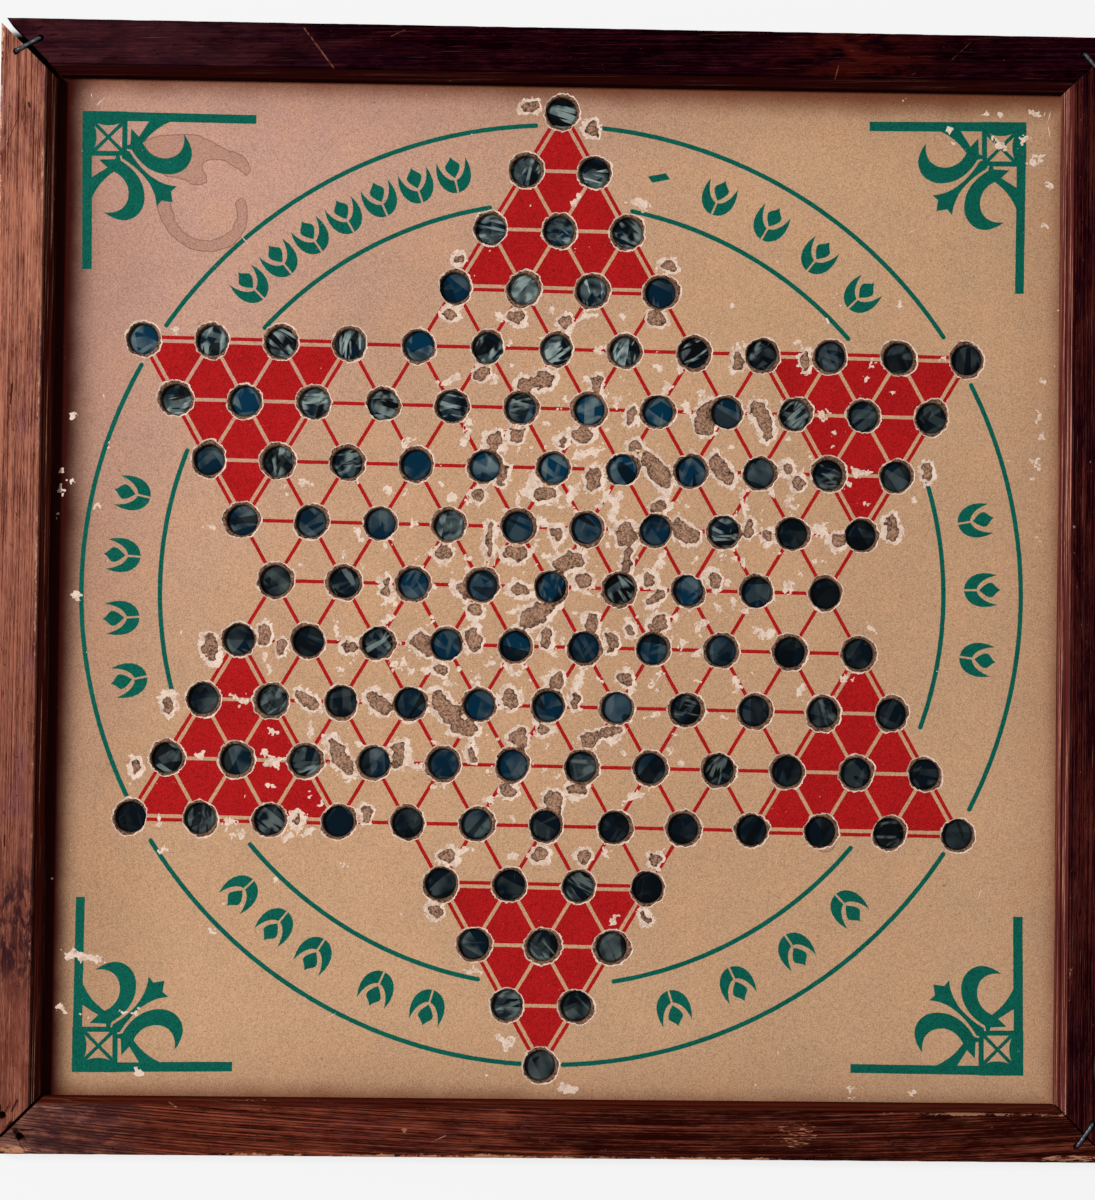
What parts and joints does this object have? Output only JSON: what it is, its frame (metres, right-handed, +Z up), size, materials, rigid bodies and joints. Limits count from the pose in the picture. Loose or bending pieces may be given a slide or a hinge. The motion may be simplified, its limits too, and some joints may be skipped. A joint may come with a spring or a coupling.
{
  "type": "chinese checkers board",
  "caption": "Square wooden-framed marble game board with a punched card star over a glazed liner.",
  "frame": {"origin": "middle of the frame's footprint, on the surface that the board lies on", "axes": "+Z up out of the playing face, +X to the right of the board, +Y to its top"},
  "size_m": [0.4544, 0.4572, 0.0206],
  "materials": {
    "rail_top": "dark worn varnish",
    "rail_left": "worn varnish, pinkish brown",
    "rail_bottom": "worn reddish varnish",
    "rail_right": "dark worn varnish",
    "card": "matt tan card, printed red and green",
    "liner": "glossy dark blue, streaked",
    "back": "plain brown board",
    "steel": "darkened wire"
  },
  "bodies": {
    "root": {"rail_top": "rail_top", "rail_left": "rail_left", "rail_bottom": "rail_bottom", "rail_right": "rail_right", "staple_top_left": "steel", "staple_top_right": "steel", "staple_bottom_right": "steel", "face_card": "card", "glazed_liner": "liner", "back_board": "back", "brad_top_1": "steel", "brad_top_2": "steel", "brad_top_3": "steel", "brad_left_1": "steel", "brad_left_2": "steel", "brad_left_3": "steel", "brad_bottom_1": "steel", "brad_bottom_2": "steel", "brad_bottom_3": "steel", "brad_right_1": "steel", "brad_right_2": "steel", "brad_right_3": "steel"}
  },
  "joints": []
}
